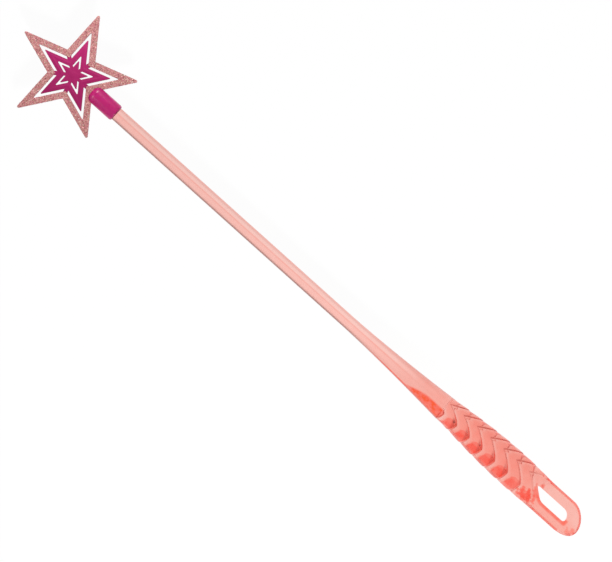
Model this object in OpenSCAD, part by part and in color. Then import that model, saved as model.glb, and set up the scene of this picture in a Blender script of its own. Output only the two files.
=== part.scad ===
// Toy magic wand. It lies flat along X with the star at -X and the hanging loop at +X.
// The star and its ferrule form a head that turns on the round end of the shaft.

/* [Star] */
// Distance from the star's centre to the sharp corner of a point
star_tip_r = 34.3; // [30:0.1:48]
// Rounding radius of the outer points
tip_round_r = 0.7; // [0.3:0.05:1.2]
// Rounding radius of the points inside the border
inner_round_r = 0.3; // [0.1:0.05:0.6]
// Thickness of the star plate
star_thick = 2.4; // [1.6:0.1:3.6]
// Width of the border that carries the glitter
border_w = 3.3; // [2.4:0.1:4.2]
// Width of the open V gap inside the border
gap_w = 1.25; // [0.8:0.05:1.8]
// Width of the band between the open gap and the V slot
band_w = 2.75; // [2:0.05:3.5]
// Width of the V slots round the centre star
slot_w = 0.8; // [0.5:0.05:1.2]
// Width of the bridges between the border and the inner star
bridge_w = 2.2; // [1.4:0.1:3.2]
// Width of the bridges between the band and the centre star
inner_bridge_w = 1.8; // [1.2:0.1:2.6]
// Width of the raised ridge that runs round the band
ridge_w = 0.9; // [0.5:0.05:1.4]
// Height of the raised ridge and the centre boss
ridge_h = 0.3; // [0.15:0.05:0.6]
// Radius of the round boss in the middle
boss_r = 1.9; // [1.2:0.1:2.4]
// Thickness of each glitter layer
glitter_thick = 0.35; // [0.2:0.05:0.6]
// Width of the tang that goes into the ferrule
tang_w = 6; // [4:0.1:7]
// Length of the tang past the notch of the star
tang_len = 6; // [4:0.1:7.5]

/* [Ferrule] */
// Wall round the shaft
ferrule_wall = 0.94; // [0.8:0.02:1.6]
// Length from dome to rim
ferrule_len = 16.8; // [14:0.1:24]
// Rounding radius of the dome
dome_round_r = 3; // [1.5:0.1:4]
// Rounding radius of the lower rim
rim_round_r = 0.8; // [0.2:0.05:0.8]
// How far the dome covers the notch of the star
dome_cover = 0.3; // [0:0.05:0.8]
// Solid web between the tang and the shaft
web_thick = 1.2; // [0.8:0.1:2]

/* [Shaft] */
// Diameter of the straight rod
shaft_d = 7.2; // [5.5:0.1:7.8]
// Length of the straight rod that shows
shaft_len = 158; // [90:1:240]
// Length of the flare
flare_len = 66; // [40:1:90]
// Diameter at the end of the flare
flare_d = 13.6; // [10:0.1:16]
// Diameter of the tenon that goes into the grip
tenon_d = 6; // [4:0.1:8]
// Length of the tenon
tenon_len = 12; // [6:0.5:18]
// Depth of the snap groove that holds the head
groove_depth = 0.3; // [0.15:0.05:0.5]
// Width of the snap groove
groove_w = 1.8; // [1.4:0.1:2.6]
// Chamfer at the ends of the rod and the tenon
end_chamfer = 0.5; // [0.2:0.1:0.8]

/* [Grip] */
// Greatest width, over the plait
grip_w = 19.6; // [16:0.1:24]
// Greatest depth, over the plait
grip_depth = 16.4; // [14:0.1:20]
// Distance from the flare to the widest place
swell_len = 46; // [36:1:50]
// Length over which the grip thins down to the loop
taper_len = 24; // [18:1:28]
// Width across the loop
loop_w = 17.6; // [15:0.1:19]
// Depth of the loop
loop_depth = 9; // [6:0.1:12]
// Length of the loop between the taper and its rounded end
loop_len = 10.5; // [6:0.5:20]
// Length of the rounded end of the loop
loop_end_len = 11.5; // [7:0.5:14]
// How far the rounded end bends to one side
end_bend = 2.2; // [0:0.1:3]
// Width of the hole
hole_w = 5.4; // [4.6:0.1:7]
// Rounding radius of the three small corners of the hole
hole_corner_r = 0.9; // [0.5:0.1:1.2]
// Rounding radius of the large corner at the outer end of the hole
hole_round_r = 4.4; // [1:0.1:4.4]
// How much longer the hole is on one side than on the other
hole_slant_len = 4.6; // [0:0.1:8]
// Length of the hole
hole_len = 21; // [16:0.5:26]
// Width of the bar beyond the hole
end_bar_w = 8.6; // [5:0.1:10]

/* [Plait] */
// Length of one scale of the plait
plait_pitch = 8.75; // [6:0.05:11]
// Distance from the flare to the first row of scales
plait_start = 1.75; // [0:0.05:4]
// Height of the scales
plait_relief = 0.8; // [0.3:0.05:1.2]
// Angle from the edge of the grip to the middle column of scales
plait_turn = 112; // [80:1:120]
// Angle between two columns of scales
column_angle = 108; // [80:1:120]

/* [Fits] */
// Radial clearance of the ferrule on the shaft
turn_clearance = 0.06; // [0.03:0.01:0.1]
// End play of the head along the shaft
end_play = 0.1; // [0.05:0.01:0.2]
// Gap round the tang in the ferrule
seat_gap = 0.04; // [0.02:0.01:0.1]
// Gap round the tenon in the grip
bond_gap = 0.04; // [0.02:0.01:0.1]
// Gap between the glitter layers and the ferrule
trim_gap = 0.1; // [0.05:0.01:0.3]

/* [Hidden] */
$fn = 64;
overrun = star_thick;

// The edges of a five-pointed star lie on straight lines, each at one distance from its centre.
star_points = 5;
tip_half_angle = 18;
notch_half_angle = 54;
tip_steps = 6;
round_steps = 12;
edge_outer = star_tip_r * sin(tip_half_angle);
edge_border = edge_outer - border_w;
edge_inner = edge_border - gap_w;
edge_slot = edge_inner - band_w;
edge_core = edge_slot - slot_w;
edge_ridge = (edge_inner + edge_slot) / 2;
star_reach = star_tip_r - tip_round_r / sin(tip_half_angle) + tip_round_r;
notch_r = edge_outer / sin(notch_half_angle);

// Stations along the wand, measured from the centre of the star.
shaft_r = shaft_d / 2;
flare_r = flare_d / 2;
tenon_r = tenon_d / 2;
bore_r = shaft_r + turn_clearance;
ferrule_r = bore_r + ferrule_wall;
dome_x = notch_r - dome_cover;
rim_x = dome_x + ferrule_len;
tang_x = notch_r + tang_len;
bore_x = tang_x + seat_gap + web_thick;
rod_x = bore_x + end_play;
groove_x = (rod_x + rim_x - groove_w) / 2;
flare_x = rim_x + shaft_len;
seam_x = flare_x + flare_len;
plait_len = swell_len + taper_len;
round_x = plait_len + loop_len;
grip_len = round_x + loop_end_len;
overall_len = star_reach + seam_x + grip_len;
star_x = star_reach - overall_len / 2;

// Shape of the flare and the plait.
flare_steps = 16;
flare_power = 1.6;
rise_share = 0.86;
bow_share = 1.05;
flank_bow_share = 0.3;
bow_power = 1.4;
column_span_share = 0.85;

// Rings of the grip.
grip_sides = 32;
plait_rings = 72;
loop_rings = 3;
end_rings = 7;
stations = concat(
    [for (i = [0 : plait_rings]) plait_len * i / plait_rings],
    [for (i = [1 : loop_rings]) plait_len + loop_len * i / loop_rings],
    [for (i = [1 : end_rings - 1]) round_x + loop_end_len * sin(90 * i / end_rings)]
);
grip_rings = [
    for (x = stations)
        [for (k = [0 : grip_sides - 1]) grip_point(x, 360 * k / grip_sides)]
];
axis_z = max(ferrule_r, -min([for (ring = grip_rings) for (p = ring) p.z]));

function polar(r, angle) = [r * cos(angle), r * sin(angle)];

function star_outline(edge, round_r) = [
    for (i = [0 : star_points - 1])
        let (
            way = 180 + 360 * i / star_points,
            middle = polar((edge - round_r) / sin(tip_half_angle), way),
            tip = [
                for (k = [0 : tip_steps])
                    middle + polar(round_r, way + (90 - tip_half_angle) * (2 * k / tip_steps - 1))
            ],
            notch = polar(edge / sin(notch_half_angle), way + 180 / star_points)
        )
        each concat(tip, [notch])
];

function arc(middle, r, from, to) = [
    for (k = [0 : round_steps]) middle + polar(r, from + (to - from) * k / round_steps)
];

function ease(share) = share * share * (3 - 2 * share);

function limited(share) = max(0, min(1, share));

// Share of the way from the widest place down to the loop.
function thinning(x) = ease(limited((x - swell_len) / taper_len));

// Rounded end of the loop, as a share of the full section.
function end_share(x) = x < round_x ? 1 : sqrt(1 - pow((x - round_x) / loop_end_len, 2));

// Half a section at one station: it swells from the flare, then thins to the loop.
function half_section(x, full, loop) =
    let (swollen = flare_r + (full / 2 - flare_r) * sin(90 * limited(x / swell_len)))
    (swollen + (loop / 2 - swollen) * thinning(x)) * end_share(x);

// One scale rises slowly from the star's side and drops at a rounded edge that faces the loop.
function scale_rise(share) = share < rise_share
    ? sin(90 * share / rise_share)
    : cos(90 * (share - rise_share) / (1 - rise_share));

// Angle from the middle of the nearest column of scales. The back of the grip mirrors its front.
function off_column(angle) =
    let (off = min(angle, 360 - angle) - plait_turn)
    off > -column_angle / 2 ? off : off + column_angle;

// How far the edge of a scale runs back from its point, in scales. It runs back less on the far flank.
function scale_bow(angle) =
    let (off = off_column(angle), flank = min(angle, 360 - angle) > plait_turn)
    flank
        ? flank_bow_share * pow(off / (180 - plait_turn), bow_power)
        : bow_share * pow(abs(off) / (column_angle / 2), bow_power);

// Scales of one row meet side by side, so that their edges run round the grip in a zigzag.
function plait_height(x, angle) =
    let (row = (x - plait_start) / plait_pitch + scale_bow(angle))
    scale_rise(row - floor(row)) * (1 - pow(off_column(angle) / (column_angle * column_span_share), 2));

// The rounded end of the loop bends to one side.
function bend(x) = -end_bend * pow(limited((x - round_x) / loop_end_len), 2);

function grip_point(x, angle) =
    let (
        relief = plait_relief * limited(x / plait_pitch * 2) * (1 - thinning(x)),
        lift = relief * (plait_height(x, angle) - 1),
        wide = half_section(x, grip_w, loop_w) + lift,
        deep = half_section(x, grip_depth, loop_depth) + lift
    )
    [x, bend(x) + wide * cos(angle), deep * sin(angle)];

// Moves a piece from the star's centre to its place in the wand.
module place() {
    translate([star_x, 0, axis_z])
        children();
}

// Turns an outline of radius and station about the shaft.
module turn_about_shaft(outline) {
    rotate([0, 90, 0])
        rotate_extrude()
            polygon(outline);
}

module bridges(width) {
    for (i = [0 : star_points - 1])
        rotate(360 * i / star_points)
            translate([0, -width / 2])
                square([star_tip_r, width]);
}

// Five V-shaped openings between two star outlines, cut short by the bridges.
module v_openings(outer, inner, bridge) {
    difference() {
        polygon(star_outline(outer, inner_round_r));
        polygon(star_outline(inner, inner_round_r));
        bridges(bridge);
    }
}

// The tang starts inside the border and ends in the ferrule.
module tang(gap) {
    start = edge_border / sin(notch_half_angle);
    translate([start, -tang_w / 2 - gap])
        square([tang_x + gap - start, tang_w + gap * 2]);
}

// Outline of the star and tang, grown by a gap where the ferrule is cut to take it.
module star_seat(gap) {
    linear_extrude(height = star_thick + gap * 2, center = true) {
        polygon(star_outline(edge_outer + gap, tip_round_r));
        tang(gap);
    }
}

module star_plate() {
    color("mediumvioletred")
        place() {
            difference() {
                star_seat(0);
                linear_extrude(height = star_thick + overrun, center = true) {
                    v_openings(edge_border, edge_inner, bridge_w);
                    v_openings(edge_slot, edge_core, inner_bridge_w);
                }
            }
            linear_extrude(height = star_thick + ridge_h * 2, center = true) {
                difference() {
                    polygon(star_outline(edge_ridge + ridge_w / 2, inner_round_r));
                    polygon(star_outline(edge_ridge - ridge_w / 2, inner_round_r));
                }
                circle(boss_r);
            }
        }
}

// The glitter layer covers the border and is trimmed round the ferrule.
module glitter_border() {
    translate([0, 0, star_thick / 2])
        linear_extrude(height = glitter_thick)
            difference() {
                polygon(star_outline(edge_outer, tip_round_r));
                polygon(star_outline(edge_border, inner_round_r));
                translate([dome_x - trim_gap, -ferrule_r - trim_gap])
                    square([ferrule_len, (ferrule_r + trim_gap) * 2]);
            }
}

module front_glitter_border() {
    color("rosybrown")
        place()
            glitter_border();
}

module rear_glitter_border() {
    color("rosybrown")
        place()
            mirror([0, 0, 1])
                glitter_border();
}

module ferrule() {
    bead_r = bore_r - groove_depth;
    bead_x = groove_x + end_play;
    bead_w = groove_w - end_play * 2;
    color("mediumvioletred")
        place()
            difference() {
                turn_about_shaft(concat(
                    [[0, dome_x]],
                    arc([ferrule_r - dome_round_r, dome_x + dome_round_r], dome_round_r, -90, 0),
                    arc([ferrule_r - rim_round_r, rim_x - rim_round_r], rim_round_r, 0, 90),
                    [
                        [bore_r, rim_x],
                        [bore_r, bead_x + bead_w],
                        [bead_r, bead_x + bead_w - groove_depth],
                        [bead_r, bead_x + groove_depth],
                        [bore_r, bead_x],
                        [bore_r, bore_x],
                        [0, bore_x]
                    ]
                ));
                star_seat(seat_gap);
            }
}

module shaft() {
    groove_r = shaft_r - groove_depth;
    tenon_x = seam_x + tenon_len;
    color("lightsalmon")
        place()
            turn_about_shaft(concat(
                [
                    [0, rod_x],
                    [shaft_r - end_chamfer, rod_x],
                    [shaft_r, rod_x + end_chamfer],
                    [shaft_r, groove_x],
                    [groove_r, groove_x + groove_depth],
                    [groove_r, groove_x + groove_w - groove_depth],
                    [shaft_r, groove_x + groove_w]
                ],
                [
                    for (i = [0 : flare_steps])
                        [
                            shaft_r + (flare_r - shaft_r) * pow(i / flare_steps, flare_power),
                            flare_x + flare_len * i / flare_steps
                        ]
                ],
                [
                    [tenon_r, seam_x],
                    [tenon_r, tenon_x - end_chamfer],
                    [tenon_r - end_chamfer, tenon_x],
                    [0, tenon_x]
                ]
            ));
}

// The plaited body is closed by a flat ring at the flare and a point at the end of the loop.
module grip_body() {
    last = len(grip_rings) - 1;
    tip = len(grip_rings) * grip_sides;
    points = concat([for (ring = grip_rings) each ring], [[grip_len, bend(grip_len), 0]]);
    sides = [
        for (i = [0 : last - 1], k = [0 : grip_sides - 1])
            let (
                next = (k + 1) % grip_sides,
                a = i * grip_sides + k,
                b = i * grip_sides + next,
                c = a + grip_sides,
                d = b + grip_sides
            )
            each [[a, c, d], [a, d, b]]
    ];
    end = [
        for (k = [0 : grip_sides - 1])
            [last * grip_sides + k, tip, last * grip_sides + (k + 1) % grip_sides]
    ];
    polyhedron(points, concat([[for (k = [0 : grip_sides - 1]) k]], sides, end));
}

// Direction in which the line that touches two circles faces.
function tangent_way(from, from_r, to, to_r) =
    let (way = to - from)
    atan2(way.y, way.x) - 90 + asin((from_r - to_r) / norm(way));

function whole_turn(angle) = angle - 360 * floor(angle / 360);

// Outline of a cord drawn tight round circles, each given as a middle and a radius.
function cord_outline(circles) =
    let (
        count = len(circles),
        ways = [
            for (i = [0 : count - 1])
                let (from = circles[i], to = circles[(i + 1) % count])
                tangent_way(from[0], from[1], to[0], to[1])
        ]
    )
    [
        for (i = [0 : count - 1])
            let (start = ways[(i + count - 1) % count])
            each arc(circles[i][0], circles[i][1], start, start + whole_turn(ways[i] - start))
    ];

// The hole slants at its inner end and has one large rounded corner at its outer end.
module loop_hole() {
    outer_x = grip_len - end_bar_w;
    inner_x = outer_x - hole_len + hole_corner_r;
    side_y = hole_w / 2 - hole_corner_r;
    linear_extrude(height = grip_depth + overrun, center = true)
        polygon(cord_outline([
            [[outer_x - hole_corner_r, -side_y], hole_corner_r],
            [[outer_x - hole_round_r, hole_w / 2 - hole_round_r], hole_round_r],
            [[inner_x, side_y], hole_corner_r],
            [[inner_x + hole_slant_len, -side_y], hole_corner_r]
        ]));
}

module grip() {
    color("salmon")
        place()
            translate([seam_x, 0, 0])
                difference() {
                    grip_body();
                    loop_hole();
                    rotate([0, 90, 0])
                        translate([0, 0, -overrun])
                            cylinder(h = overrun + tenon_len + bond_gap, r = tenon_r + bond_gap);
                }
}

star_plate();
front_glitter_border();
rear_glitter_border();
ferrule();
shaft();
grip();
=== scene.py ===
import math

import bmesh
import bpy
import numpy as np
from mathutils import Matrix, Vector


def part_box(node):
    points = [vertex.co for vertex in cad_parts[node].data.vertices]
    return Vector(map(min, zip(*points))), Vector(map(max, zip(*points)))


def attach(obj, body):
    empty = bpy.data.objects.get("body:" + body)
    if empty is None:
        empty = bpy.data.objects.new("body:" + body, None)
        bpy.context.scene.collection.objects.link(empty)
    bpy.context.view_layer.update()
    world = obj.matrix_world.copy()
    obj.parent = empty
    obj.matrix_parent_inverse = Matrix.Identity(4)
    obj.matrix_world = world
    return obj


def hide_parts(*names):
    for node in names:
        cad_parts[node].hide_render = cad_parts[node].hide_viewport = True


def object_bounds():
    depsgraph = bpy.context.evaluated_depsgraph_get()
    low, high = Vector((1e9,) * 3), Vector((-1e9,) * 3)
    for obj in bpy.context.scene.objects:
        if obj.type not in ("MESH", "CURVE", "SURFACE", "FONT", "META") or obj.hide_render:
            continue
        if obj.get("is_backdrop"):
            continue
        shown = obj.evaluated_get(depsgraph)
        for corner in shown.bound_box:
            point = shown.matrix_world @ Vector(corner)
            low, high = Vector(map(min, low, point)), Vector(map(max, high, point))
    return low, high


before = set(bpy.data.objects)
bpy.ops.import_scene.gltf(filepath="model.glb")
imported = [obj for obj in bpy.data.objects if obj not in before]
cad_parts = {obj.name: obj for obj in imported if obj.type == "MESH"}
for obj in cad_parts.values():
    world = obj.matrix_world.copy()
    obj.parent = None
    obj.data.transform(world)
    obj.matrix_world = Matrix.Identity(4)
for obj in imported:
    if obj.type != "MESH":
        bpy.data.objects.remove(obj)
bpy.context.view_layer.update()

# Shaft. One solid injection-moulded rod of clear coral acrylic, straight and then flared like a
# trumpet up to the grip. Its thin end has a snap groove, hidden in the ferrule, on which the head turns.
shaft_low, shaft_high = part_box("shaft")
grip_low, grip_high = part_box("grip")
ferrule_low, ferrule_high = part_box("ferrule")
axis_z = (shaft_low.z + shaft_high.z) / 2
seam_x = grip_low.x
rod_r, rod_chamfer = 0.0036, 0.0005
flare_r = (shaft_high.z - shaft_low.z) / 2
flare_long, flare_power, flare_edge = 0.066, 1.6, 0.00004
groove_wide, groove_deep = 0.0018, 0.0003
groove_x = (shaft_low.x + ferrule_high.x - groove_wide) / 2
round_sides, straight_rings, flare_rings = 128, 40, 97
smooth_degrees = 35


def make_piece(name, points, faces, sharp_angle=smooth_degrees):
    """A mesh object from points in metres in the part's frame, smooth but for edges over an angle."""
    mesh = bpy.data.meshes.new(name)
    mesh.from_pydata([tuple(p) for p in points], [], [tuple(f) for f in faces])
    mesh.shade_smooth()
    mesh.set_sharp_from_angle(angle=math.radians(sharp_angle))
    piece = bpy.data.objects.new(name, mesh)
    bpy.context.scene.collection.objects.link(piece)
    return piece


def turned(profile, sides):
    """Points and faces of a body turned about the wand's axis from (station, radius) pairs."""
    around = [2 * math.pi * k / sides for k in range(sides)]
    points = [
        (x, r * math.cos(a), axis_z + r * math.sin(a)) for x, r in profile[1:-1] for a in around
    ]
    rings = len(profile) - 2
    faces = [
        (i * sides + k, i * sides + (k + 1) % sides, (i + 1) * sides + (k + 1) % sides, (i + 1) * sides + k)
        for i in range(rings - 1)
        for k in range(sides)
    ]
    for ring, (x, _), way in ((0, profile[0], -1), (rings - 1, profile[-1], 1)):
        points.append((x, 0, axis_z))
        for k in range(sides):
            pair = (ring * sides + k, ring * sides + (k + 1) % sides)
            faces.append(pair[::way] + (len(points) - 1,))
    return points, faces


straight = np.linspace(groove_x + groove_wide, seam_x - flare_long, straight_rings)[:-1]
flare = np.linspace(0, 1, flare_rings)
shaft_profile = (
    [(shaft_low.x, 0), (shaft_low.x, rod_r - rod_chamfer), (shaft_low.x + rod_chamfer, rod_r)]
    + [(groove_x, rod_r), (groove_x + groove_deep, rod_r - groove_deep)]
    + [(groove_x + groove_wide - groove_deep, rod_r - groove_deep)]
    + [(x, rod_r) for x in straight]
    + [(seam_x - flare_long * (1 - f), rod_r + (flare_r - rod_r) * f**flare_power) for f in flare[:-1]]
    + [(seam_x - flare_edge, flare_r), (seam_x, flare_r - flare_edge), (seam_x, 0)]
)
shaft = make_piece("shaft_rod", *turned(shaft_profile, round_sides))


def smooth(low, high, value):
    """0 at one value, 1 at another, and an even curve between them."""
    share = np.clip((value - low) / (high - low), 0, 1)
    return share * share * (3 - 2 * share)


def keep(piece, name, values, domain="POINT"):
    """Stores a value for each point or face of a piece, which its material reads."""
    piece.data.attributes.new(name, "FLOAT", domain).data.foreach_set("value", values)


# The clear rod's tint and its painted light and shade are kept with its points, each from 0 to 1: how deep
# its coral is, deeper where it is thick and deep red where red shade is painted, and how dark its painted
# edge shade is. Across runs from -1 to 1 over the width of the rod.
rod_depth, flare_depth, flare_depth_power = 0.18, 0.13, 1.5
centre_shade_at, centre_shade_half, parting_depth, centre_shade_dim = 0.1, 0.08, 0.18, 0.08
pale_band_depth, high_side_depth, high_side_dim = 0.3, 0.1, 0.25
red_strip_long, red_strip_rise, red_strip_top, red_strip_soft, streak_depth = 0.033, 0.024, -0.02, 0.27, 0.95
low_edge_dim, flare_high_dim, flare_low_dim, grip_end_fade = 0.75, 0.16, 0.5, 0.7
at = np.array([v.co[:] for v in shaft.data.vertices])
radius = np.hypot(at[:, 1], at[:, 2] - axis_z).clip(rod_r)
across = at[:, 1] / radius
above = (at[:, 2] - axis_z) / radius
flared = np.clip((at[:, 0] - seam_x) / flare_long + 1, 0, 1)
near_grip = smooth(0.7, 1, flared)
upper = smooth(-0.2, 0.2, above)
not_under = smooth(-0.4, -0.1, above)
# Painted light and shade on the top of the rod: a paler band is a painted highlight, a darker line along the
# middle is painted shade, and the +Y side and its edge get painted shade.
high_side = smooth(0.4, 0.8, across)
painted_highlight_band = upper * smooth(0.15, 0.3, across) * smooth(0.8, 0.6, across)
painted_centre_shade = upper * np.exp(-(((across - centre_shade_at) / centre_shade_half) ** 2))
bands = (parting_depth * painted_centre_shade - pale_band_depth * painted_highlight_band) * smooth(0.8, 0.3, flared)
bands += high_side_depth * upper * high_side
depth = rod_depth + flare_depth * flared**flare_depth_power + bands * (1 - near_grip)
# Painted red shade on the flare: a strip on its -Y side that widens towards the grip, and a red line along
# that edge.
red_strip_edge = 1 - (1 - red_strip_top) * smooth(0, red_strip_rise, at[:, 0] - (seam_x - red_strip_long))
painted_red_strip = streak_depth * smooth(0, red_strip_soft, -across - red_strip_edge)
red_edge = smooth(0.74, 0.84, -across) * smooth(0.1, 0.45, flared)
keep(shaft, "depth", np.maximum(np.maximum(depth, 0), not_under * np.maximum(red_edge, painted_red_strip)))
# Painted shade: dark lines along the rod's -Y edge, its middle and +Y side, and both edges of the flare.
low_edge = low_edge_dim * smooth(0.77, 0.9, -across) * smooth(0.5, 0.1, flared)
high_edge = (centre_shade_dim * painted_centre_shade + high_side_dim * high_side) * (1 - grip_end_fade * near_grip)
flare_sides = flare_high_dim * smooth(0.78, 0.95, across) + flare_low_dim * smooth(0.82, 0.94, -across)
keep(shaft, "painted_dark_shade", upper * (low_edge + high_edge + flare_sides * smooth(0.2, 0.5, flared)))
just_short = seam_x - 1e-6
at_seam = [float(min(at[v][0] for v in f.vertices) > just_short) for f in shaft.data.polygons]
keep(shaft, "bonded", at_seam, "FACE")


def linear(code):
    """The linear colour of an sRGB hex code."""
    parts = [int(code[i : i + 2], 16) / 255 for i in (1, 3, 5)]
    return tuple(c / 12.92 if c <= 0.04045 else ((c + 0.055) / 1.055) ** 2.4 for c in parts) + (1,)


def empty_tree(material):
    """The node tree of a material or world, cleared."""
    material.use_nodes = True
    material.node_tree.nodes.clear()
    return material.node_tree


def node(tree, kind, inputs={}, **settings):
    """Adds a shader node with its settings. An input that is given a socket is linked to it."""
    new = tree.nodes.new("ShaderNode" + kind)
    for key, value in settings.items():
        setattr(new, key, value)
    for key, value in inputs.items():
        if isinstance(value, bpy.types.NodeSocket):
            tree.links.new(value, new.inputs[key])
        else:
            new.inputs[key].default_value = value
    return new


# Acrylic, tinted in the mass and polished by the mould. It bends and mirrors light sharply and is pale where
# thin. Its coral deepens where it is thick, and painted red shade, painted dark edges and painted highlights
# come from the values kept with its points. In lamplight the thin rod throws a soft grey shadow and the
# thick end hardly any. The faces of the bonded seam don't show.
coral_acrylic = bpy.data.materials.new("coral acrylic, tinted, mould polished")
tree = empty_tree(coral_acrylic)
place = node(tree, "TexCoord").outputs["Object"]
flow_mark, haze_patch = 0.007, 0.0025
flow = node(tree, "TexNoise", {"Vector": place, "Scale": 1 / flow_mark, "Detail": 2.0})
haze = node(tree, "TexNoise", {"Vector": place, "Scale": 1 / haze_patch, "Detail": 4.0})
roughness = node(tree, "MapRange", {"Value": haze.outputs["Fac"], "To Min": 0.02, "To Max": 0.06})
pale = node(
    tree,
    "Mix",
    {"Factor": flow.outputs["Fac"], "A": linear("#FAD3CB"), "B": linear("#FAD8D0")},
    data_type="RGBA",
)
cloudy = node(tree, "MapRange", {"Value": haze.outputs["Fac"], "To Min": 0.7, "To Max": 1.3})
depth = node(
    tree,
    "Math",
    {0: node(tree, "Attribute", attribute_name="depth").outputs["Fac"], 1: cloudy.outputs["Result"]},
    operation="MULTIPLY",
).outputs["Value"]
shallow = node(tree, "MapRange", {"Value": depth, "From Max": 0.4}).outputs["Result"]
coral = node(
    tree,
    "Mix",
    {"Factor": shallow, "A": pale.outputs["Result"], "B": linear("#FCA091")},
    data_type="RGBA",
)
# Painted red shade: where the kept value is high, the coral turns deep red.
far = node(tree, "MapRange", {"Value": depth, "From Min": 0.4}).outputs["Result"]
deep = node(
    tree,
    "Mix",
    {"Factor": far, "A": coral.outputs["Result"], "B": linear("#FF3008")},
    data_type="RGBA",
)
# Painted shade: the darkened edges are mixed toward dark brown.
painted_dark_shade = node(tree, "Attribute", attribute_name="painted_dark_shade").outputs["Fac"]
tint_with_painted_shade = node(
    tree,
    "Mix",
    {"Factor": painted_dark_shade, "A": deep.outputs["Result"], "B": linear("#7A4A44")},
    data_type="RGBA",
)
bump = node(tree, "Bump", {"Height": flow.outputs["Fac"], "Strength": 0.05, "Distance": 0.00006})
surface = node(
    tree,
    "BsdfPrincipled",
    {
        "Base Color": tint_with_painted_shade.outputs["Result"],
        "Roughness": roughness.outputs["Result"],
        "Normal": bump.outputs["Normal"],
        "IOR": 1.49,
        "Transmission Weight": 1.0,
    },
)
along = node(tree, "SeparateXYZ", {"Vector": place}).outputs["X"]
thick = node(tree, "MapRange", {"Value": along, "From Min": seam_x - flare_long, "From Max": seam_x})
shade = node(
    tree,
    "Mix",
    {"Factor": thick.outputs["Result"], "A": linear("#B89E96"), "B": linear("#FCF6F4")},
    data_type="RGBA",
)
lets_through = node(tree, "BsdfTransparent", {"Color": shade.outputs["Result"]})
to_lamp = node(tree, "LightPath").outputs["Is Shadow Ray"]
mixed = node(tree, "MixShader", {0: to_lamp, 1: surface.outputs["BSDF"], 2: lets_through.outputs["BSDF"]})
bonded = node(tree, "Attribute", attribute_name="bonded").outputs["Fac"]
unseen = node(tree, "BsdfTransparent")
joined = node(tree, "MixShader", {0: bonded, 1: mixed.outputs["Shader"], 2: unseen.outputs["BSDF"]})
inside = node(tree, "VolumeAbsorption", {"Color": linear("#FC7C59"), "Density": 5.0})
node(tree, "OutputMaterial", {"Surface": joined.outputs["Shader"], "Volume": inside.outputs["Volume"]})
shaft.data.materials.append(coral_acrylic)
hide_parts("shaft")
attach(shaft, "handle")

# Grip. One solid moulding of the same acrylic, bonded on the end of the shaft. Rows of pointed scales
# run round it like a leather plait, and it thins to a loop with a slanted hole for hanging it up.
# Its sizes and the star's are in mm.
mm = 0.001
grip_long = (grip_high.x - grip_low.x) / mm
deepest = (grip_high.z - grip_low.z) / mm
widest = 19.6
swell_long, taper_long, end_long = 46, 24, 11.5
loop_wide, loop_deep, end_bend = 17.6, 9, 2.2
plait_pitch, plait_first, plait_relief = 8.75, 1.75, 0.8
plait_turn, column = math.radians(112), math.radians(108)
rise_share, bow, flank_bow, bow_power, column_span = 0.88, 1.05, 0.3, 1.4, 0.85
flat_edge, flat_from, flat_to = 0.35, 0.35, 1.2
hole_half, hole_end, hole_round, end_bar, hole_long = 2.7, 0.9, 4.4, 8.6, 21
hole_slant, rim_round, corner_round = 4.6, 1.5, 1.4
seam_gap, skin_cell, least_slope = 0.015, 0.25, 0.1
evening_steps = (0, 0, 0.5, 0, 0.5, 0, 0)


def plait_row(x, angle):
    """Places of points on their scales, 0 at the star's end to 1 at the edge, and angles off the middle."""
    off = angle - plait_turn
    off = np.where(off > -column / 2, off, off + column)
    back = np.where(
        angle > plait_turn,
        flank_bow * (np.abs(off) / (math.pi - plait_turn)) ** bow_power,
        bow * (np.abs(off) / (column / 2)) ** bow_power,
    )
    return ((x - plait_first) / plait_pitch + back) % 1, off


def plait_height(share, off):
    """Height of a scale, from 0 in a dip to 1 on its ridge."""
    rise = np.where(
        share < rise_share,
        np.sin(math.pi / 2 * share / rise_share),
        np.cos(math.pi / 2 * (share - rise_share) / (1 - rise_share)),
    )
    return rise * (1 - (off / (column * column_span)) ** 2)


def soft_max(a, b, round_r):
    """The larger of two distances, rounded where they meet."""
    return np.maximum(a, b) + np.maximum(round_r - np.abs(a - b), 0) ** 2 / (4 * round_r)


def grip_section(p):
    """Half the width and depth of the grip at points, how far it has thinned, and the angle round it."""
    x, y, z = p[..., 0], p[..., 1], p[..., 2]
    thin = smooth(0, 1, (x - swell_long) / taper_long)
    swell = np.sin(math.pi / 2 * np.clip(x / swell_long, 0, 1))
    half = []
    for full, loop in ((widest, loop_wide), (deepest, loop_deep)):
        swollen = flare_r / mm + (full / 2 - flare_r / mm) * swell
        half.append(swollen + (loop / 2 - swollen) * thin)
    tail = np.clip((x - grip_long + end_long) / end_long, 0, None)
    y_bent = y + end_bend * tail**2
    angle = np.abs(np.arctan2(z / half[1], y_bent / half[0]))
    return half, thin, tail, y_bent, angle


def hole_distance(x, y):
    """How far points lie outside the hole of the loop, in mm."""
    past_x, past_y = x - (grip_long - end_bar - hole_round), y - (hole_half - hole_round)
    outer = np.hypot(np.maximum(past_x, 0), np.maximum(past_y, 0)) - hole_round
    outer += np.minimum(np.maximum(past_x, past_y), 0)
    long_side = soft_max(outer, -y - hole_half, corner_round)
    inner = np.array((grip_long - end_bar - hole_long + hole_end, hole_half - hole_end))
    way = np.array((hole_slant, -2 * inner[1])) / math.hypot(hole_slant, 2 * inner[1])
    slant = (x - inner[0]) * way[1] - (y - inner[1]) * way[0] - hole_end
    return soft_max(long_side, slant, corner_round)


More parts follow.
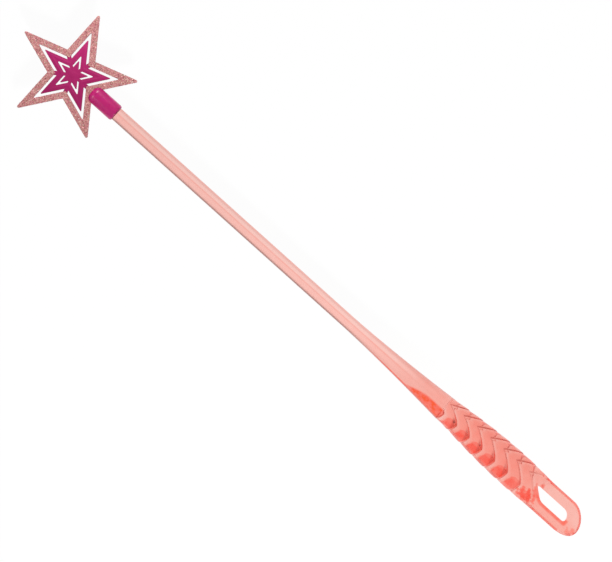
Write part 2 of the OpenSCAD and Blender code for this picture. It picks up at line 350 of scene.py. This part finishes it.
def grip_distance(p):
    """How far points lie outside the grip, in mm. They are given in mm from the middle of the seam."""
    x, y, z = p[..., 0], p[..., 1], p[..., 2]
    half, thin, tail, y_bent, angle = grip_section(p)
    relief = plait_relief * np.clip(x / plait_pitch * 2, 0, 1) * (1 - thin)
    relief = relief * (flat_edge + (1 - flat_edge) * smooth(flat_from, flat_to, angle))
    lift = relief * (plait_height(*plait_row(x, angle)) - 1)
    out = np.sqrt((y_bent / (half[0] + lift)) ** 2 + (z / (half[1] + lift)) ** 2 + tail**2)
    reach = np.sqrt(y_bent**2 + z**2 + (tail * end_long) ** 2)
    body = reach - reach / np.maximum(out, 1e-6)
    return np.maximum(soft_max(body, -hole_distance(x, y), rim_round), seam_gap - x)


def skin(distance, low, high, cell):
    """A closed quad skin where a distance is 0: one point for each grid cell that it crosses. The points are
    then moved onto the surface in steps, some of which first even out their spacing."""
    counts = [int(math.ceil((b - a) / cell)) + 1 for a, b in zip(low, high)]
    lines = [a + cell * np.arange(n) for a, n in zip(low, counts)]
    solid = distance(np.stack(np.meshgrid(*lines, indexing="ij"), -1)) < 0
    full = sum(
        solid[i : counts[0] - 1 + i, j : counts[1] - 1 + j, k : counts[2] - 1 + k].astype(int)
        for i in (0, 1)
        for j in (0, 1)
        for k in (0, 1)
    )
    cells = np.argwhere((full > 0) & (full < 8))
    number = np.full(full.shape, -1)
    number[tuple(cells.T)] = np.arange(len(cells))
    faces = []
    for way in range(3):
        one, two = (way + 1) % 3, (way + 2) % 3
        lower = solid.take(range(counts[way] - 1), way)
        upper = solid.take(range(1, counts[way]), way)
        for turn, crossed in ((1, lower & ~upper), (-1, ~lower & upper)):
            at = np.argwhere(crossed)
            corners = []
            for a, b in ((0, 0), (-1, 0), (-1, -1), (0, -1))[::turn]:
                beside = at.copy()
                beside[:, one] += a
                beside[:, two] += b
                corners.append(number[tuple(beside.T)])
            faces.append(np.stack(corners, 1))
    faces = np.concatenate(faces)
    points = np.array(low) + (cells + 0.5) * cell
    nudge = cell / 50
    for even in evening_steps:
        if even:
            total, share = np.zeros_like(points), np.zeros(len(points))
            middle = points[faces].mean(1)
            for corner in range(4):
                np.add.at(total, faces[:, corner], middle)
                np.add.at(share, faces[:, corner], 1)
            points += even * (total / share[:, None] - points)
        slope = np.stack(
            [(distance(points + d) - distance(points - d)) / (2 * nudge) for d in nudge * np.eye(3)], -1
        )
        step = distance(points) / np.maximum((slope**2).sum(-1), least_slope)
        points -= slope * np.clip(step, -cell, cell)[:, None]
    return points, faces


edge, grip_smooth_degrees = 3 * skin_cell, 50
points, faces = skin(
    grip_distance,
    (-edge, -widest / 2 - edge, -deepest / 2 - edge),
    (grip_long + edge, widest / 2 + edge, deepest / 2 + edge),
    skin_cell,
)
in_place = points * mm + np.array((seam_x, 0, axis_z))
grip = make_piece("grip_moulding", in_place, faces.tolist(), grip_smooth_degrees)

# The grip's tint and painted light and shade are kept the same way. Each scale has painted deep red shade
# low on its flank and a painted dark red line along its edge, with a painted paler strip after the line. The
# loop is pale, with painted red shade below its hole and in patches, placed in mm.
loop_depth, loop_low_depth, below_hole_depth = 0.22, 0.1, 0.85
plait_depth, swell_depth, side_depth, scale_depth, strip_depth = 0.14, 0.08, 0.06, 0.1, 0.18
facet_top, facet_drop, facet_soft, flank_depth, flank_gain = 0.62, 0.37, 0.07, 0.8, 0.18
line_depth, line_dim, flank_dim, high_dim = 0.8, 0.6, 0.3, 0.1
low_rim_depth, low_rim_drop = 0.3, 0.45
painted_red_patches = ((59.6, -5.4, 4.6, 3.2, 0.85), (63.5, 0, 3, 4, 0.65), (90, -4.6, 3, 2.4, 0.55))
ragged_waves = ((0.3, 1.7, 1.1), (0.2, -1, 2.9))
half, thin, _, y_bent, angle = grip_section(points)
share, _ = plait_row(points[:, 0], angle)
across = -y_bent / half[0]
plaited = 1 - thin
on_flank = smooth(0.9, 0.76, across)
# Painted red shade low on each scale's flank, a painted dark red line along its edge.
facet = facet_top - facet_drop * smooth(0.14, 0.36, across)
flank = flank_depth * smooth(0.12, 0.24, across) * on_flank * smooth(-facet_soft, facet_soft, share - facet)
flank *= 1 + flank_gain * smooth(0.75, 0.95, share)
edge_line = line_depth * smooth(0.84, 0.92, share) * smooth(0.45, 0.2, across)
# Painted red shade below the hole.
below_hole = below_hole_depth * smooth(0, 1.5, -points[:, 1]) * smooth(0.2, 0.6, points[:, 2] / half[1])
below_hole *= smooth(2.6, 1.1, hole_distance(points[:, 0], points[:, 1]))
swelled = smooth(0, swell_long / 3, points[:, 0])
after_edge = smooth(0.3, 0.05, share) * smooth(0, 0.1, share)
# Painted shade across each scale and from side to side, with a painted paler strip after each edge.
on_plait = plait_depth + swell_depth * swelled - side_depth * across
on_plait += scale_depth * (share - 0.5) - strip_depth * after_edge
# Painted shade near the -Y edge of the plait, paler at the start of each scale.
on_plait += smooth(0.74, 0.88, across) * (low_rim_depth - low_rim_drop * smooth(0.4, 0.2, share))
# The loop is painted a deeper coral towards its -Y side.
depth = loop_depth + on_plait * plaited + loop_low_depth * thin * smooth(-0.2, 0.3, across)
depth = np.maximum(depth, np.maximum(np.maximum(flank, edge_line) * plaited, below_hole))
# Painted red shade in ragged patches.
ragged = sum(high * np.sin(i * points[:, 0] + j * points[:, 1]) for high, i, j in ragged_waves)
for x, y, x_half, y_half, patch_depth in painted_red_patches:
    away = np.hypot((points[:, 0] - x) / x_half, (points[:, 1] - y) / y_half)
    depth = np.maximum(depth, patch_depth * smooth(1.15, 0.85, away + ragged))
keep(grip, "depth", depth)
# Painted shade: darker towards the -Y side and along the scale edges.
edge_shade = flank_dim * smooth(0.86, 0.95, share) * smooth(0.2, 0.3, across) * on_flank
keep(grip, "painted_dark_shade", (high_dim * smooth(0, 0.9, -across) + line_dim * edge_line + edge_shade) * plaited)
just_past = seam_gap + 0.001
keep(grip, "bonded", (points[faces][:, :, 0].max(1) < just_past).astype(float), "FACE")
grip.data.materials.append(coral_acrylic)
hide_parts("grip")
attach(grip, "handle")

# Ferrule. A moulded cap of magenta polystyrene with a rounded dome at the star's end and a rounded rim.
# It snaps over the end of the rod, and the star's tang reaches into its dome, drawn without the slot for it.
ferrule_r = (ferrule_high.y - ferrule_low.y) / 2
turn_gap, end_gap, mouth_chamfer = 0.00006, 0.0001, 0.00015
bore_r, bore_x = rod_r + turn_gap, shaft_low.x - end_gap
dome_round, rim_long, rim_deep = 0.003, 0.0013, 0.0008


def corner(x, r, long_r, round_r, start, end, steps=16):
    """A quarter round of a profile about a point, with its own radius along and across the wand."""
    turns = [math.radians(start + (end - start) * k / steps) for k in range(steps + 1)]
    return [(x + long_r * math.cos(a), r + round_r * math.sin(a)) for a in turns]


ferrule_outside = corner(
    ferrule_low.x + dome_round, ferrule_r - dome_round, dome_round, dome_round, 180, 90
) + corner(ferrule_high.x - rim_long, ferrule_r - rim_deep, rim_long, rim_deep, 90, 0)
ferrule_profile = (
    [(ferrule_low.x, 0)]
    + ferrule_outside
    + [(ferrule_high.x - mouth_chamfer, bore_r), (bore_x, bore_r), (bore_x, 0)]
)
ferrule = make_piece("ferrule_cap", *turned(ferrule_profile, round_sides))

# Polystyrene, coloured in the mass and moulded glossy, with a faint swirl where it flowed round the bore.
# Its grain is drawn coarser than the real one, so that it shows.
magenta_gloss = bpy.data.materials.new("magenta polystyrene, moulded gloss")
tree = empty_tree(magenta_gloss)
place = node(tree, "TexCoord").outputs["Object"]
swirl_long, grain = 0.005, 0.0004
swirl = node(tree, "TexNoise", {"Vector": place, "Scale": 1 / swirl_long, "Detail": 3.0})
pores = node(tree, "TexNoise", {"Vector": place, "Scale": 1 / grain, "Detail": 2.0})
colour = node(
    tree,
    "Mix",
    {"Factor": swirl.outputs["Fac"], "A": linear("#B01464"), "B": linear("#C21A72")},
    data_type="RGBA",
)
roughness = node(tree, "MapRange", {"Value": swirl.outputs["Fac"], "To Min": 0.25, "To Max": 0.32})
bump = node(tree, "Bump", {"Height": pores.outputs["Fac"], "Strength": 0.2, "Distance": 0.00002})
surface = node(
    tree,
    "BsdfPrincipled",
    {
        "Base Color": colour.outputs["Result"],
        "Roughness": roughness.outputs["Result"],
        "Normal": bump.outputs["Normal"],
        "IOR": 1.59,
        "Specular IOR Level": 0.3,
        "Subsurface Weight": 0.1,
        "Subsurface Scale": 0.001,
    },
)
node(tree, "OutputMaterial", {"Surface": surface.outputs["BSDF"]})
ferrule.data.materials.append(magenta_gloss)
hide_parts("ferrule")
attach(ferrule, "head")

# Star plate. A flat moulding of magenta polystyrene: a border, an inner star on five bridges, V slots
# round a small centre star, a raised line that follows the edges, and a tang that goes into the ferrule.
star_low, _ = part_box("star_plate")
star_points = 5
tip_half, notch_half = math.radians(18), math.radians(54)
star_tip_r, tip_round, inner_round = 34.3, 0.7, 0.3
star_x = star_low.x / mm + star_tip_r - tip_round / math.sin(tip_half) + tip_round
border_wide, gap_wide, band_wide, slot_wide = 3.3, 1.25, 2.75, 0.8
outer_edge = star_tip_r * math.sin(tip_half)
border_edge = outer_edge - border_wide
band_edge = border_edge - gap_wide
slot_edge = band_edge - band_wide
core_edge = slot_edge - slot_wide
ridge_edge = (band_edge + slot_edge) / 2
bridge_half, inner_bridge_half, tang_half, tang_long, tang_spare = 1.1, 0.9, 3.0, 6.0, 0.01
plate_half, ridge_high, boss_high, boss_r, facet_high = 1.2, 0.1, 0.16, 1.9, 0.1
edge_round, edge_round_degrees, weld = 0.00016, 60, 1e-6
straight_steps, round_steps = 5, 4
half_columns = round_steps + straight_steps + 3


def star_half(edge, round_r):
    """Half of one point of a star outline, from its tip to the notch, as places along and across it."""
    middle = (edge - round_r) / math.sin(tip_half)
    turns = [(math.pi / 2 - tip_half) * k / round_steps for k in range(round_steps + 1)]
    half = [(middle + round_r * math.cos(a), round_r * math.sin(a)) for a in turns]
    notch_r = edge / math.sin(notch_half)
    notch = np.array((notch_r * math.cos(math.pi / star_points), notch_r * math.sin(math.pi / star_points)))
    back = np.array((math.cos(tip_half), -math.sin(tip_half))) / math.sin(notch_half)
    first, last = np.array(half[-1]), notch + back * tang_half
    half += [tuple(first + (last - first) * k / straight_steps) for k in range(1, straight_steps + 1)]
    return half + [tuple(notch + back * w) for w in (bridge_half, inner_bridge_half, 0)]


def all_round(half):
    """A whole outline in mm from the star's centre, by mirroring half a point ten times."""
    ring = []
    for i in range(star_points):
        way = math.pi + 2 * math.pi * i / star_points
        for j in range(1 - half_columns, half_columns + 1):
            along, across = half[abs(j)][0], math.copysign(half[abs(j)][1], j)
            x = along * math.cos(way) - across * math.sin(way)
            y = along * math.sin(way) + across * math.cos(way)
            ring.append((x, y))
    return ring


def circle_half(r):
    """Half of one point's share of a circle, with as many steps as a star outline."""
    turns = [math.pi / star_points * j / half_columns for j in range(half_columns + 1)]
    return [(r * math.cos(a), r * math.sin(a)) for a in turns]


def plate(levels, open_cells):
    """Points and faces of a plate from outlines and heights, with a wall round every open cell."""
    columns = len(levels[0][0])
    points = [
        (x, y, z * side) for side in (1, -1) for ring, high in levels for (x, y), z in zip(ring, high)
    ]
    below = len(points) // 2
    solid = {(i, q) for i in range(len(levels) - 1) for q in range(columns) if not open_cells(i, q)}
    faces = []
    for i, q in solid:
        last, after = (q - 1) % columns, (q + 1) % columns
        a, b = i * columns + q, i * columns + after
        c, d = b + columns, a + columns
        faces += [(a, d, c, b), (a + below, b + below, c + below, d + below)]
        beside = ((i - 1, q), b, a), ((i + 1, q), d, c), ((i, last), a, d), ((i, after), c, b)
        for other, one, two in beside:
            if other not in solid and other[0] >= 0:
                faces.append((one, two, two + below, one + below))
    return points, faces


ridge_profile = [(-0.62, 0), (-0.45, 0.4), (-0.25, 0.85), (0, 1), (0.25, 0.85), (0.45, 0.4), (0.62, 0)]
boss_profile = [(0, 1), (0.6, 0.96), (1.1, 0.8), (1.5, 0.5), (boss_r, 0.05), (boss_r + 0.25, 0)]
levels, zones = [], []
flat_high = [plate_half] * (2 * star_points * half_columns)
for r, share in boss_profile:
    levels.append((all_round(circle_half(r)), [plate_half + boss_high * share] * len(flat_high)))
    zones.append("core")
facet = [1 - 2 * abs(j) / half_columns for j in range(1 - half_columns, half_columns + 1)] * star_points
levels.append((all_round(star_half(core_edge, inner_round)), [plate_half + facet_high * f for f in facet]))
zones.append("slot")
levels.append((all_round(star_half(slot_edge, inner_round)), flat_high))
zones.append("band")
for shift, share in ridge_profile:
    high = [plate_half + ridge_high * share] * len(flat_high)
    levels.append((all_round(star_half(ridge_edge + shift, inner_round)), high))
    zones.append("band")
levels.append((all_round(star_half(band_edge, inner_round)), flat_high))
zones.append("gap")
levels.append((all_round(star_half(border_edge, inner_round)), flat_high))
zones.append("border")
levels.append((all_round(star_half(outer_edge, tip_round)), flat_high))
zones.append("tang")
tang_x = outer_edge / math.sin(notch_half) + tang_long
levels.append(([(tang_x, y) for x, y in levels[-1][0]], flat_high))


def star_open(level, q):
    """True where the star plate has an opening, or nothing, in a cell between two outlines."""
    j = q % (2 * half_columns) - half_columns + 1
    from_notch = half_columns - max(abs(j), abs(j + 1)) if j < half_columns else 0
    if zones[level] == "slot":
        return from_notch > 0
    if zones[level] == "gap":
        return from_notch > 1
    if zones[level] == "tang":
        x, y = levels[-2][0][q]
        x2, y2 = levels[-2][0][(q + 1) % len(flat_high)]
        return from_notch > 2 or min(x, x2) < 0 or max(abs(y), abs(y2)) > tang_half + tang_spare
    return False


def star_frame(points):
    """Points in metres in the part's frame, from mm about the star's centre."""
    return [((star_x + x) * mm, y * mm, axis_z + z * mm) for x, y, z in points]


points, faces = plate(levels, star_open)
star = make_piece("star_moulding", star_frame(points), faces)
work = bmesh.new()
work.from_mesh(star.data)
bmesh.ops.remove_doubles(work, verts=work.verts, dist=weld)
bmesh.ops.delete(work, geom=[v for v in work.verts if not v.link_faces], context="VERTS")
bmesh.ops.recalc_face_normals(work, faces=work.faces)
work.to_mesh(star.data)
work.free()
star.data.shade_smooth()
star.data.set_sharp_from_angle(angle=math.radians(smooth_degrees))
edges = star.modifiers.new("moulded edges", "BEVEL")
edges.width, edges.segments, edges.limit_method = edge_round, 2, "ANGLE"
edges.angle_limit, edges.harden_normals = math.radians(edge_round_degrees), True

# Polystyrene again, with the satin face of a lightly blasted mould: fine grain and a soft sheen. The grain
# is drawn coarser than the real one here too.
magenta_satin = bpy.data.materials.new("magenta polystyrene, moulded satin")
tree = empty_tree(magenta_satin)
place = node(tree, "TexCoord").outputs["Object"]
cloud_wide, grain = 0.009, 0.0005
cloud = node(tree, "TexNoise", {"Vector": place, "Scale": 1 / cloud_wide, "Detail": 3.0})
pores = node(tree, "TexNoise", {"Vector": place, "Scale": 1 / grain, "Detail": 2.0})
colour = node(
    tree,
    "Mix",
    {"Factor": cloud.outputs["Fac"], "A": linear("#A61F60"), "B": linear("#B2266A")},
    data_type="RGBA",
)
roughness = node(tree, "MapRange", {"Value": cloud.outputs["Fac"], "To Min": 0.42, "To Max": 0.55})
bump = node(tree, "Bump", {"Height": pores.outputs["Fac"], "Strength": 0.25, "Distance": 0.00002})
surface = node(
    tree,
    "BsdfPrincipled",
    {
        "Base Color": colour.outputs["Result"],
        "Roughness": roughness.outputs["Result"],
        "Normal": bump.outputs["Normal"],
        "IOR": 1.59,
        "Specular IOR Level": 0.14,
    },
)
node(tree, "OutputMaterial", {"Surface": surface.outputs["BSDF"]})
star.data.materials.append(magenta_satin)
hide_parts("star_plate")
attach(star, "head")

# Glitter borders. A coat of clear lacquer with rose, gold and bronze flakes on the front and the back
# of the star's border, cut out round the ferrule.
coat_high, coat_tone, cut_gap, cutter_sides = 0.24, 0.32, 0.00006, 96
coat_edge = [(0, 0), (0.02, 0.6), (0.12, 0.95), (0.3, 1)]
coat_profile = coat_edge + [(border_wide - d, s) for d, s in coat_edge[::-1]]
flake_count, flake_sides, flake_thick, flake_lift, flake_top = 4300, 6, 0.03, 0.03, 0.34
flake_small, flake_large, flake_lean, flake_sink, any_turn = 0.18, 0.29, 0.22, 0.06, 6.3
tilt_low, tilt_high, inner_room, outer_room, ferrule_room = -0.2, 0.06, 0.12, 0.1, 0.2
dome_x, dome_r = ferrule_low.x / mm - star_x, ferrule_r / mm


def under_ferrule(x, y, room):
    """True where the ferrule, seen from above, covers the border."""
    r = dome_round / mm
    past = np.maximum(dome_x + r - x, 0)
    half = dome_r - r + np.sqrt(np.maximum((r + room) ** 2 - past**2, 0))
    return (x > dome_x - room) & (np.abs(y) < half + room)


def flakes(seed, up):
    """Points, faces and tones of hexagonal flakes, tilted at random and spread over one border."""
    draw = np.random.RandomState(seed)
    points, faces, tones = [], [], []
    while len(tones) < flake_count:
        edge = math.sqrt(draw.uniform((border_edge + inner_room) ** 2, (outer_edge - outer_room) ** 2))
        along = draw.uniform(0, 1) * edge * (1 / math.tan(tip_half) - 1 / math.tan(notch_half))
        notch_r = edge / math.sin(notch_half)
        a = notch_r * math.cos(math.pi / star_points) + along * math.cos(tip_half)
        b = notch_r * math.sin(math.pi / star_points) - along * math.sin(tip_half)
        side, tip = draw.choice((-1, 1)), draw.randint(star_points)
        size, turn = draw.uniform(flake_small, flake_large), draw.uniform(0, any_turn)
        lean, lean_way = draw.normal(0, flake_lean), draw.uniform(0, any_turn)
        tone, sink = draw.uniform(0, 1), draw.uniform(0, flake_sink)
        past = a - (outer_edge - tip_round) / math.sin(tip_half)
        if past > 0 and math.hypot(past, b) > tip_round - outer_room:
            continue
        way = math.pi + 2 * math.pi * tip / star_points
        x = a * math.cos(way) - side * b * math.sin(way)
        y = a * math.sin(way) + side * b * math.cos(way)
        if under_ferrule(x, y, ferrule_room):
            continue
        start, over = len(points), len(points) + flake_sides
        for z in (0, flake_thick):
            for k in range(flake_sides):
                way = turn + 2 * math.pi * k / flake_sides
                u, v = size * math.cos(way), size * math.sin(way)
                tilt = math.tan(lean) * (u * math.cos(lean_way) + v * math.sin(lean_way))
                high = coat_high - sink + flake_lift + z + max(tilt_low, min(tilt_high, tilt))
                points.append((x + u, y + v, up * (plate_half + min(high, flake_top))))
        ring = list(range(flake_sides))
        flake = [[start + k for k in ring[::-1]], [over + k for k in ring]]
        for k in ring:
            after = (k + 1) % flake_sides
            flake.append([start + k, start + after, over + after, over + k])
        faces += flake if up > 0 else [f[::-1] for f in flake]
        tones.append(tone)
    return points, faces, tones


# Polyester glitter in lacquer: each flake has its own tint and tilt, so the coat sparkles in specks.
rose_glitter = bpy.data.materials.new("rose polyester glitter, lacquered")
tree = empty_tree(rose_glitter)
place = node(tree, "TexCoord").outputs["Object"]
tone = node(tree, "Attribute", attribute_name="tone").outputs["Fac"]
speck = 0.0005
dust = node(tree, "TexNoise", {"Vector": place, "Scale": 1 / speck, "Detail": 1.0})
shade = node(tree, "Math", {0: dust.outputs["Fac"], 1: 0.5}, operation="SUBTRACT")
mixed = node(tree, "Math", {0: shade.outputs["Value"], 1: 0.35, 2: tone}, operation="MULTIPLY_ADD")
ramp = node(tree, "ValToRGB", {"Fac": mixed.outputs["Value"]})
tints = [(0.0, "#6E3638"), (0.12, "#A8565C"), (0.35, "#CB7F82"), (0.6, "#DC9C9A")]
tints += [(0.78, "#E6B4AA"), (0.86, "#C79C76"), (0.93, "#989478"), (1.0, "#F2DAD2")]
while len(ramp.color_ramp.elements) < len(tints):
    ramp.color_ramp.elements.new(0.5)
for stop, (at, code) in zip(ramp.color_ramp.elements, tints):
    stop.position, stop.color = at, linear(code)
surface = node(
    tree,
    "BsdfPrincipled",
    {
        "Base Color": ramp.outputs["Color"],
        "Metallic": 0.25,
        "Roughness": 0.42,
        "Coat Weight": 0.15,
        "Coat Roughness": 0.2,
    },
)
node(tree, "OutputMaterial", {"Surface": surface.outputs["BSDF"]})

borders = []
for name, cad_node, up, seed in (
    ("glitter_border_front", "front_glitter_border", 1, 11),
    ("glitter_border_rear", "rear_glitter_border", -1, 12),
):
    rings = [
        all_round(star_half(border_edge + d, inner_round + (tip_round - inner_round) * d / border_wide))
        for d, _ in coat_profile
    ]
    columns = len(rings[0])
    points = [
        (x, y, up * (plate_half + coat_high * s))
        for ring, (_, s) in zip(rings, coat_profile)
        for x, y in ring
    ]
    faces = []
    for i in range(len(rings)):
        row, next_row = i * columns, (i + 1) % len(rings) * columns
        for q in range(columns):
            after = (q + 1) % columns
            faces.append((row + q, next_row + q, next_row + after, row + after)[::up])
    coat = make_piece("coat", star_frame(points), faces)
    cutter_profile = [(ferrule_low.x - cut_gap, 0)]
    cutter_profile += [(x - cut_gap, r + cut_gap) for x, r in ferrule_outside]
    cutter_profile += [(ferrule_high.x, 0)]
    cutter = make_piece("cutter", *turned(cutter_profile, cutter_sides))
    cut = coat.modifiers.new("round the ferrule", "BOOLEAN")
    cut.object, cut.operation, cut.solver = cutter, "DIFFERENCE", "EXACT"
    shape = bpy.data.meshes.new_from_object(coat.evaluated_get(bpy.context.evaluated_depsgraph_get()))
    bpy.data.objects.remove(cutter)
    bpy.data.objects.remove(coat)
    coat_points = [v.co[:] for v in shape.vertices]
    coat_faces = [p.vertices[:] for p in shape.polygons]
    flake_points, flake_faces, tones = flakes(seed, up)
    flake_faces = [[len(coat_points) + v for v in f] for f in flake_faces]
    border = make_piece(name, coat_points + star_frame(flake_points), coat_faces + flake_faces)
    point_tones = [t for t in tones for _ in range(2 * flake_sides)]
    keep(border, "tone", [coat_tone] * len(coat_points) + point_tones)
    border.data.materials.append(rose_glitter)
    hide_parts(cad_node)
    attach(border, "head")
    borders.append(border)

# Studio. A large white floor and white surroundings, a key lamp for the clear rod and grip, a fill lamp and
# small lamps that each light one piece of the head, and a camera straight above with a long lens, turned so
# that the wand lies slantwise.
floor_half, floor_drop, fibre = 3, 0.0002, 0.002
corners = [(i * floor_half, j * floor_half, -floor_drop) for i, j in ((-1, -1), (1, -1), (1, 1), (-1, 1))]
floor = make_piece("floor", corners, [(0, 1, 2, 3)])

# White card with a matt face: an even white to the eye, with a trace of the wand's soft shadow. Seen through
# the thin rod it keeps more of that shadow than through the thick end.
white_card = bpy.data.materials.new("white card, matt")
tree = empty_tree(white_card)
path = node(tree, "LightPath")
place = node(tree, "TexCoord").outputs["Object"]
fibres = node(tree, "TexNoise", {"Vector": place, "Scale": 1 / fibre})
paper = node(tree, "MapRange", {"Value": fibres.outputs["Fac"], "To Min": 0.9, "To Max": 0.94})
matt = node(tree, "BsdfDiffuse", {"Color": paper.outputs["Result"]})
glow = node(tree, "Emission", {"Strength": 1.0})
mirrored = node(
    tree,
    "Math",
    {0: path.outputs["Is Glossy Ray"], 1: path.outputs["Is Transmission Ray"]},
    operation="SUBTRACT",
)
seen = node(
    tree, "Math", {0: path.outputs["Is Camera Ray"], 1: mirrored.outputs["Value"]}, operation="MAXIMUM"
)
straight_on = node(tree, "Math", {0: seen.outputs["Value"], 1: 0.97}, operation="MULTIPLY")
along = node(tree, "SeparateXYZ", {"Vector": place}).outputs["X"]
even = node(
    tree,
    "MapRange",
    {
        "Value": along,
        "From Min": seam_x - flare_long,
        "From Max": seam_x - flare_long / 2,
        "To Min": 0.22,
        "To Max": 0.85,
    },
)
through = node(
    tree,
    "Math",
    {0: path.outputs["Is Transmission Ray"], 1: even.outputs["Result"]},
    operation="MULTIPLY",
)
share = node(
    tree, "Math", {0: straight_on.outputs["Value"], 1: through.outputs["Value"]}, operation="MAXIMUM"
)
lit = node(
    tree, "MixShader", {0: share.outputs["Value"], 1: matt.outputs["BSDF"], 2: glow.outputs["Emission"]}
)
node(tree, "OutputMaterial", {"Surface": lit.outputs["Shader"]})
floor.data.materials.append(white_card)
floor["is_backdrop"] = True

world = bpy.data.worlds.new("white studio")
bpy.context.scene.world = world
tree = empty_tree(world)
path = node(tree, "LightPath")
mirrored = node(tree, "MapRange", {"Value": path.outputs["Is Glossy Ray"], "To Min": 0.3, "To Max": 0.6})
seen = node(
    tree,
    "Math",
    {0: path.outputs["Is Camera Ray"], 1: path.outputs["Is Transmission Ray"]},
    operation="MAXIMUM",
)
level = node(tree, "Math", {0: mirrored.outputs["Result"], 1: seen.outputs["Value"]}, operation="MAXIMUM")
sky = node(tree, "Background", {"Color": (1, 1, 1, 1), "Strength": level.outputs["Value"]})
node(tree, "OutputWorld", {"Surface": sky.outputs["Background"]})

# Each lamp has its place, the point it faces, its side in metres, its power in watts and what it lights.
head_middle, star_middle = (-0.15, 0, axis_z), (-0.155, 0, axis_z)
ferrule_middle = (-0.135, 0, axis_z)
for name, place, aim, size, power, lights in (
    ("key", (1.2, -1.0, 1.12), (0, 0, 0), 0.3, 58.0, [shaft, grip, floor]),
    ("fill lamp", (0.3, -0.22, 0.26), head_middle, 0.2, 0.85, [star, ferrule] + borders),
    ("star lamp", (-0.181, 0.055, 0.06), star_middle, 0.03, 0.056, [star]),
    ("border lamp", (-0.26, 0.16, 0.3), star_middle, 0.1, 0.745, borders),
    ("ferrule lamp, right", (-0.225, 0.146, 0.11), ferrule_middle, 0.1, 0.31, [ferrule]),
    ("ferrule lamp, left", (-0.225, -0.126, 0.134), ferrule_middle, 0.1, 0.16, [ferrule]),
):
    lamp = bpy.data.lights.new(name, "AREA")
    lamp.shape, lamp.size, lamp.energy = "SQUARE", size, power
    holder = bpy.data.objects.new(name, lamp)
    bpy.context.scene.collection.objects.link(holder)
    holder.location = place
    holder.rotation_euler = (Vector(aim) - Vector(place)).to_track_quat("-Z", "Y").to_euler()
    holder.visible_camera = False
    holder.visible_glossy = holder.visible_transmission = name != "key"
    lit = bpy.data.collections.new("lit by the " + name)
    for piece in lights:
        lit.objects.link(piece)
    holder.light_linking.receiver_collection = lit

camera_data = bpy.data.cameras.new("camera")
camera_data.lens, camera_data.sensor_width = 400, 36
camera = bpy.data.objects.new("camera", camera_data)
bpy.context.scene.collection.objects.link(camera)
view_x, view_y, view_wide, slant = 0.0016, 0.0011, 0.3109, 41.91
away = view_wide * camera_data.lens / camera_data.sensor_width
camera.location = (view_x, view_y, axis_z + away)
camera.rotation_euler = (0, 0, math.radians(slant))
bpy.context.scene.camera = camera
bpy.context.scene.view_settings.view_transform = "Standard"
# Light is mirrored many times inside the clear grip before it comes out.
cycles = bpy.context.scene.cycles
cycles.max_bounces, cycles.glossy_bounces, cycles.transmission_bounces = 32, 24, 32
cycles.caustics_reflective, cycles.caustics_refractive = False, False

low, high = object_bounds()
